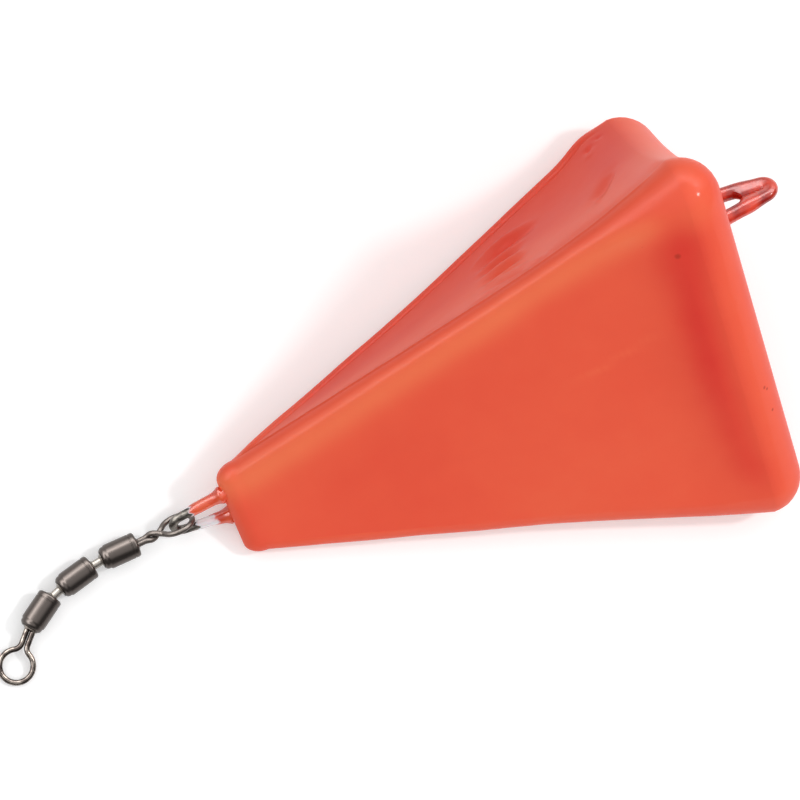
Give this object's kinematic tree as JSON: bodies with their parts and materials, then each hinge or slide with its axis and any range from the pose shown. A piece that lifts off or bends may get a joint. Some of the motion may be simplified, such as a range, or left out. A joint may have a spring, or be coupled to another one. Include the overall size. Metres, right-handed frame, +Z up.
{
  "type": "fishing sinker",
  "caption": "Three-sided, tapering cast lead sinker in a dipped plastic skin, with a coated wire loop at its wide end and a chain of barrel swivels on a wire loop at its narrow end.",
  "frame": {"origin": "on the ground, below the middle of the whole part's bounding box", "axes": "+X runs from the swivel chain to the sinker's wide end, +Z is up, and the sinker lies on one of its smooth faces"},
  "size_m": [0.1712, 0.084, 0.0607],
  "materials": {
    "lead": "dull cast lead, hidden",
    "red_plastic": "soft glossy dipped plastic, red-orange",
    "loop_wire": "dull steel wire with traces of the skin",
    "dull_eye_wire": "worn, mottled grey plated wire",
    "black_nickel": "polished black-nickel plate on drawn brass",
    "pin_steel": "bright worn steel pin",
    "eye_wire": "black-nickel plated wire"
  },
  "bodies": {
    "sinker": {"lead_core": "lead", "plastic_skin": "red_plastic", "tail_wire": "loop_wire", "nose_wire": "loop_wire"},
    "near_eye": {"near_eye": "dull_eye_wire"},
    "barrel_1": {"barrel_1": "black_nickel"},
    "link_pin_1": {"link_pin_1": "pin_steel"},
    "barrel_2": {"barrel_2": "black_nickel"},
    "link_pin_2": {"link_pin_2": "pin_steel"},
    "barrel_3": {"barrel_3": "black_nickel"},
    "end_eye": {"end_eye": "eye_wire"}
  },
  "joints": [
    {"name": "eye_swing", "type": "hinge", "parent": "sinker", "child": "near_eye", "pos_m": [-0.04401, 0.00598, 0.00349], "axis": [0.0335, -0.848, -0.5289], "range_deg": [-100, 100]},
    {"name": "barrel_1_spin", "type": "hinge", "parent": "near_eye", "child": "barrel_1", "pos_m": [-0.0528, 0.00598, 0.00266], "axis": [-0.9993, 0.0174, -0.032], "continuous": true},
    {"name": "link_1_tilt", "type": "hinge", "parent": "barrel_1", "child": "link_pin_1", "pos_m": [-0.05773, 0.00607, 0.0025], "axis": [-0.0285, 0.1707, 0.9849], "range_deg": [-29.1, 14.9]},
    {"name": "barrel_2_spin", "type": "hinge", "parent": "link_pin_1", "child": "barrel_2", "pos_m": [-0.06232, 0.00559, 0.00245], "axis": [-0.9816, -0.1908, 0], "continuous": true},
    {"name": "link_2_tilt", "type": "hinge", "parent": "barrel_2", "child": "link_pin_2", "pos_m": [-0.06717, 0.00464, 0.00245], "axis": [0, 0, 1], "range_deg": [-28, 16]},
    {"name": "barrel_3_spin", "type": "hinge", "parent": "link_pin_2", "child": "barrel_3", "pos_m": [-0.07158, 0.0033, 0.00245], "axis": [-0.8572, -0.515, 0], "continuous": true},
    {"name": "end_eye_spin", "type": "hinge", "parent": "barrel_3", "child": "end_eye", "pos_m": [-0.07581, 0.00076, 0.00245], "axis": [-0.71, -0.6857, -0.1605], "continuous": true}
  ]
}
